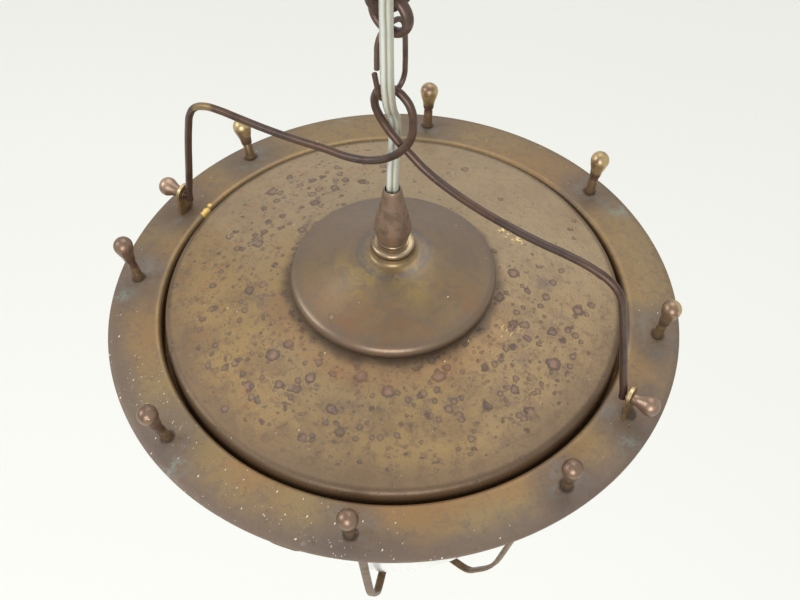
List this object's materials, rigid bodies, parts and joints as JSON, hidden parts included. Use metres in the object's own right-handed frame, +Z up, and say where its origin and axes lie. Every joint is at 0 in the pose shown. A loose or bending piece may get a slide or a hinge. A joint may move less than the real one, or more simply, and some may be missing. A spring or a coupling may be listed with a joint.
{
  "type": "hanging sanctuary lamp",
  "caption": "Round brass crown with ball knobs hung from a looped wire bail and link chain; coned lift-out cover with cap and cord nozzle over a caged opal globe.",
  "frame": {"origin": "centre of the ceiling plate's top face, where it meets the ceiling", "axes": "+Z up out of the ceiling plate, the lamp hangs along -Z; +X along the bail's two pivots"},
  "size_m": [0.2608, 0.26, 0.4579],
  "materials": {
    "crown_brass": "brown-olive patina, mottled, bright on the rolled inner edge",
    "cover_brass": "olive-brown patina with round corrosion spots",
    "cap_brass": "brown-olive patina with reddish patches",
    "turned_brass": "reddish-brown satin with rubbed gold tops",
    "strap_brass": "dull brown patina",
    "wire_brass": "dark purplish-brown satin",
    "inner_brass": "plain spun brass",
    "nut_steel": "dull plated",
    "opal_glass": "opal white, satin",
    "bulb_glass": "frosted",
    "porcelain": "glazed white",
    "cord_sheath": "clear flexible sheath over two conductors",
    "dark_plastic": "moulded"
  },
  "bodies": {
    "ceiling_fitting": {"ceiling_plate": "nut_steel", "hook_bridge": "nut_steel", "ceiling_cup": "wire_brass", "ceiling_hook": "wire_brass", "hook_nuts": "nut_steel", "cord_bush": "dark_plastic", "terminal_block": "dark_plastic", "cord_upper": "cord_sheath"},
    "heavy_link": {"heavy_link": "wire_brass"},
    "open_link": {"open_link": "wire_brass", "cord_chain": "cord_sheath"},
    "bail": {"bail": "wire_brass", "cord_loop": "cord_sheath"},
    "crown": {"crown_ring": "crown_brass", "bail_tabs": "turned_brass", "pivot_washers": "turned_brass", "ring_knobs": "turned_brass", "arm_nuts": "nut_steel", "cradle_arm_1": "strap_brass", "cradle_arm_2": "strap_brass", "cradle_arm_3": "strap_brass", "cradle_arm_4": "strap_brass", "cradle_arm_5": "strap_brass", "cradle_arm_6": "strap_brass", "cradle_arm_7": "strap_brass", "cradle_arm_8": "strap_brass", "lower_hub": "strap_brass", "hub_rivets": "strap_brass", "bottom_finial": "turned_brass", "finial_nut": "nut_steel", "cord_lower": "cord_sheath"},
    "cover": {"cover": "cover_brass", "cap": "cap_brass", "collar_ring": "turned_brass", "collar_neck": "turned_brass", "nozzle": "turned_brass", "cord_grip": "dark_plastic", "centre_tube": "inner_brass", "spreader": "inner_brass", "tube_nuts": "nut_steel", "inner_leads": "dark_plastic", "gallery": "inner_brass", "gallery_screws": "inner_brass", "glass_globe": "opal_glass", "holder_cap": "inner_brass", "holder_skirt": "inner_brass", "holder_insert": "porcelain", "centre_contact": "inner_brass", "thread_shell": "inner_brass"},
    "bulb": {"bulb_cap": "nut_steel", "bulb_glass": "bulb_glass"},
    "pivot_right": {"pivot_knob_right": "turned_brass"},
    "pivot_left": {"pivot_knob_left": "turned_brass"}
  },
  "joints": [
    {"name": "heavy_link_swing", "type": "hinge", "parent": "ceiling_fitting", "child": "heavy_link", "pos_m": [0, 0, -0.0783], "axis": [0.5299, 0.848, 0], "range_deg": [-20, 20], "deforming": ["cord_upper"]},
    {"name": "open_link_swing", "type": "hinge", "parent": "heavy_link", "child": "open_link", "pos_m": [0, 0, -0.0894], "axis": [0.9903, -0.1392, 0], "range_deg": [-20, 20], "deforming": ["cord_chain"]},
    {"name": "bail_swing", "type": "hinge", "parent": "open_link", "child": "bail", "pos_m": [0, 0, -0.1208], "axis": [0.1736, 0.9848, 0], "range_deg": [-20, 20], "deforming": ["cord_loop"]},
    {"name": "lamp_tilt", "type": "hinge", "parent": "bail", "child": "crown", "pos_m": [0, 0, -0.238], "axis": [1, 0, 0], "range_deg": [-70, 70], "deforming": ["cord_lower"]},
    {"name": "cover_lift", "type": "slide", "parent": "crown", "child": "cover", "axis": [0, 0, 1], "range_m": [0, 0.012]},
    {"name": "bulb_turn", "type": "hinge", "parent": "cover", "child": "bulb", "pos_m": [0, 0, -0.302], "axis": [0, 0, 1], "continuous": true},
    {"name": "pivot_right_turn", "type": "hinge", "parent": "crown", "child": "pivot_right", "pos_m": [0.12, 0, -0.238], "axis": [1, 0, 0], "continuous": true},
    {"name": "pivot_left_turn", "type": "hinge", "parent": "crown", "child": "pivot_left", "pos_m": [-0.12, 0, -0.238], "axis": [-1, 0, 0], "continuous": true}
  ]
}
